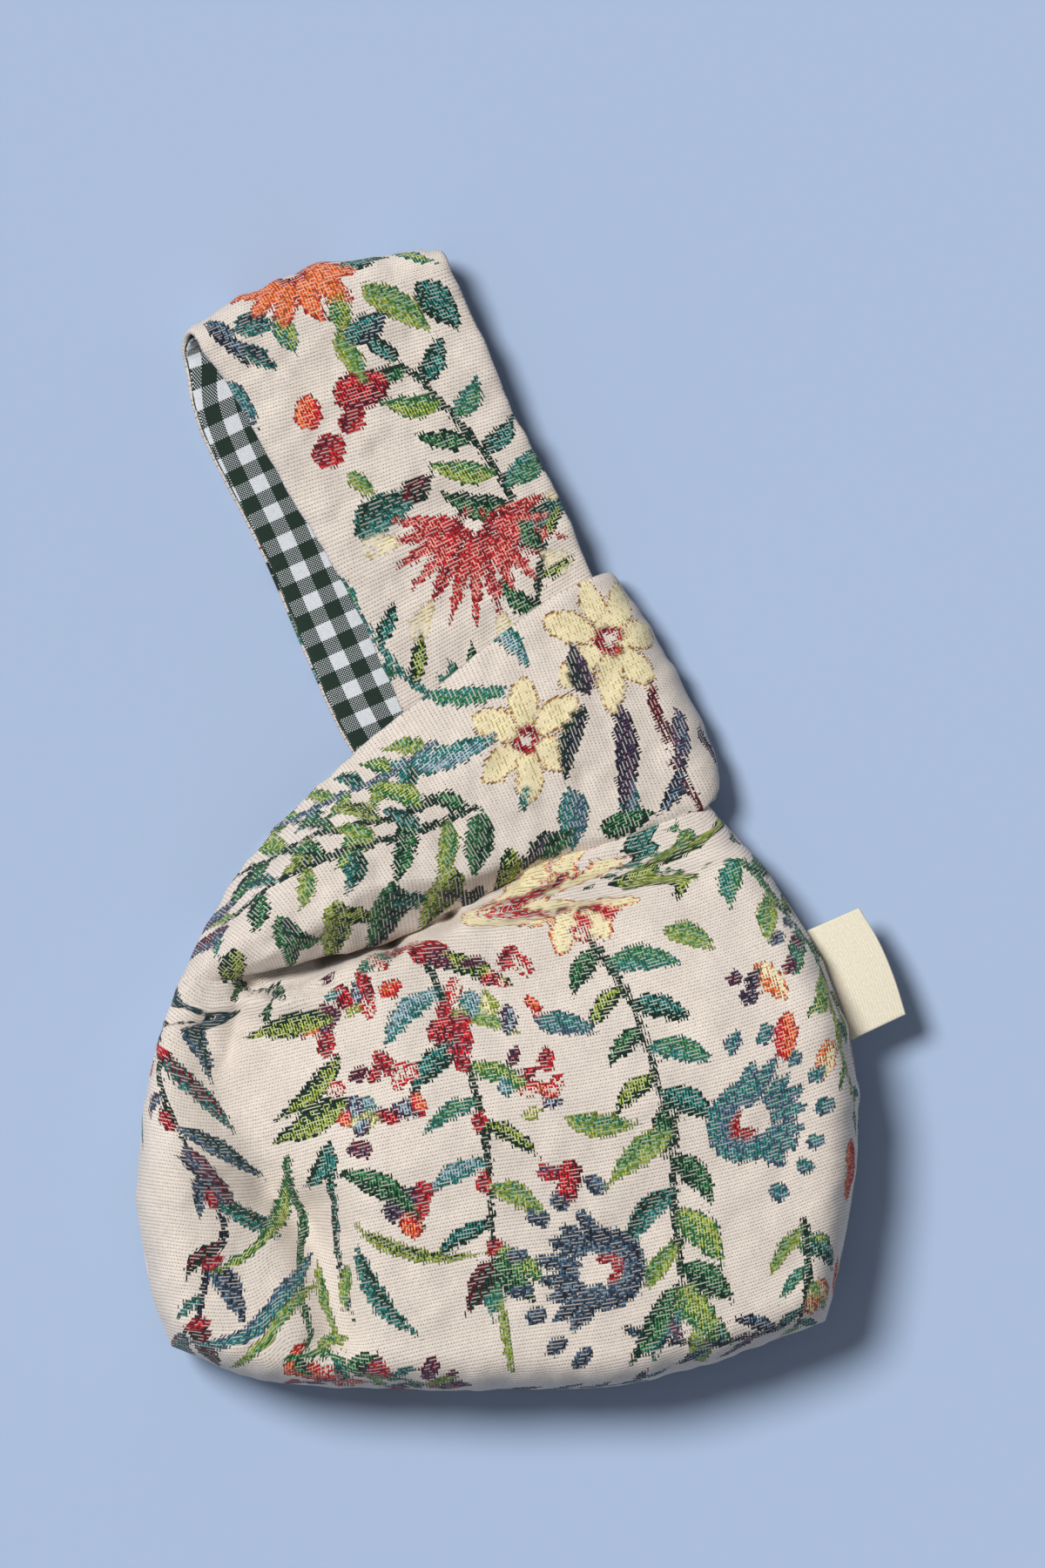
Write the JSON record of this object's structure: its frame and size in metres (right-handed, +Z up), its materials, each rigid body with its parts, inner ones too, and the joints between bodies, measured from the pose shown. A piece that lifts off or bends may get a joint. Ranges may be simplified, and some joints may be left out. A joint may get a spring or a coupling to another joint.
{
  "type": "knot bag",
  "caption": "Soft cloth knot bag lying on its back, its long loop drawn through its short one, with a checked lining in the long loop and a folded tab in its side seam.",
  "frame": {"origin": "on the surface that the bag lies on, under the middle of its bounding box", "axes": "+X to the right of the bag, +Y from its bottom towards its loops, +Z up through its front"},
  "size_m": [0.2342, 0.3504, 0.0508],
  "materials": {
    "tapestry_front": "matt woven jacquard",
    "tapestry_back": "matt woven jacquard",
    "gingham": "matt plain weave",
    "ribbon": "woven satin ribbon"
  },
  "bodies": {
    "root": {"front_panel": "tapestry_front", "back_panel": "tapestry_back", "loop_lining": "gingham", "label_tab": "ribbon"}
  },
  "joints": []
}
